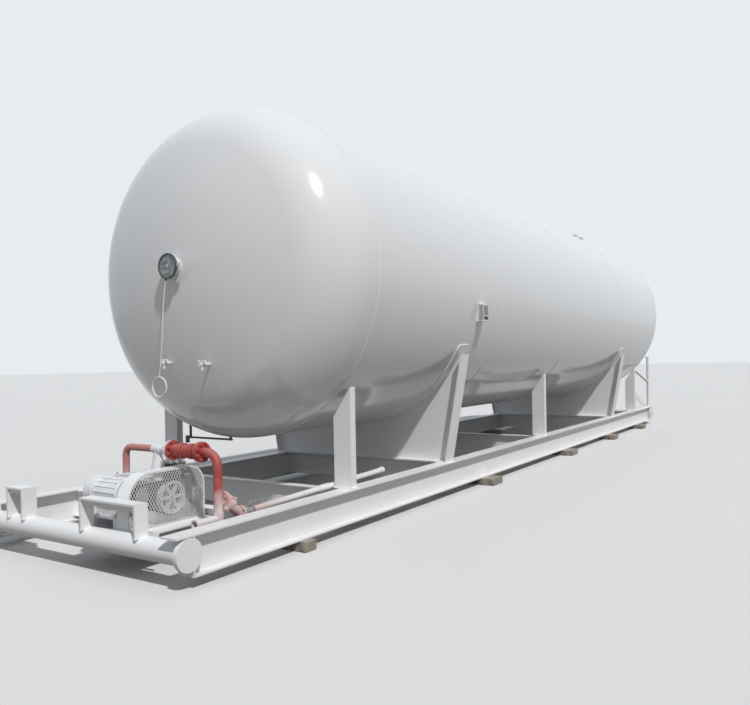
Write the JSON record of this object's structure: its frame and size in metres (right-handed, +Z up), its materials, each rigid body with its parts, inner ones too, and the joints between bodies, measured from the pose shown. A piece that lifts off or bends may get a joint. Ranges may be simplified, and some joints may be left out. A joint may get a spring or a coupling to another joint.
{
  "type": "horizontal pressure tank on a transport skid",
  "caption": "Horizontal welded pressure vessel on saddles and a steel skid, with a belt-driven transfer set and pipework at one end.",
  "frame": {"origin": "on the ground below the middle of the skid", "axes": "+X along the tank from the transfer set to the plain end, +Y to the back, +Z up"},
  "size_m": [15.05, 3.3959, 4.4435],
  "materials": {
    "white_paint": "gloss white paint",
    "oxide_paint": "flat red oxide paint with white overspray",
    "grey_metal": "dull machined metal",
    "belt_rubber": "matt black",
    "dial": "plain dial plate",
    "cord": "white cord",
    "ring": "white ring",
    "timber": "weathered sawn timber"
  },
  "bodies": {
    "tank_and_skid": {"vessel_shell": "white_paint", "front_head": "white_paint", "back_head": "white_paint", "girth_welds": "white_paint", "front_saddle": "white_paint", "back_saddle": "white_paint", "wear_plates": "white_paint", "near_rail": "white_paint", "far_rail": "white_paint", "front_roll_pipe": "white_paint", "back_roll_pipe": "white_paint", "cross_beams": "white_paint", "stub_posts": "white_paint", "timbers": "timber", "winch_hoods": "white_paint", "end_rails": "white_paint", "deck_plate": "white_paint", "deck_bearers": "white_paint", "set_base": "white_paint", "motor_body": "white_paint", "motor_fan_cowl": "white_paint", "motor_terminal_box": "white_paint", "drive_belts": "belt_rubber", "crankcase": "white_paint", "cylinder_block": "grey_metal", "belt_guard": "white_paint", "guard_mesh": "white_paint", "back_riser": "oxide_paint", "tee_branch": "white_paint", "line_strainer": "oxide_paint", "front_riser": "oxide_paint", "check_valve": "white_paint", "ball_valve": "grey_metal", "rail_line": "white_paint", "gauge_body": "grey_metal", "gauge_dial": "dial", "pull_cord": "cord", "pull_ring": "ring", "head_valves": "white_paint", "sample_line": "grey_metal", "nameplate_bracket": "white_paint", "relief_valves": "white_paint"},
    "flywheel": {"flywheel": "white_paint"},
    "motor_sheave": {"motor_sheave": "grey_metal"},
    "valve_lever": {"ball_valve_lever": "grey_metal"}
  },
  "joints": [
    {"name": "flywheel_spin", "type": "hinge", "parent": "tank_and_skid", "child": "flywheel", "pos_m": [-6.89, -0.59, 0.527], "axis": [0, 1, 0], "continuous": true},
    {"name": "sheave_spin", "type": "hinge", "parent": "tank_and_skid", "child": "motor_sheave", "pos_m": [-7.205, -0.59, 0.59], "axis": [0, 1, 0], "continuous": true},
    {"name": "lever_turn", "type": "hinge", "parent": "tank_and_skid", "child": "valve_lever", "pos_m": [-6.54, -1.058, 0.433], "axis": [0, 0, 1], "range_deg": [0, 90]}
  ],
  "couplings": [
    {"joint": "sheave_spin", "follows": "flywheel_spin", "ratio": 2.0769}
  ]
}
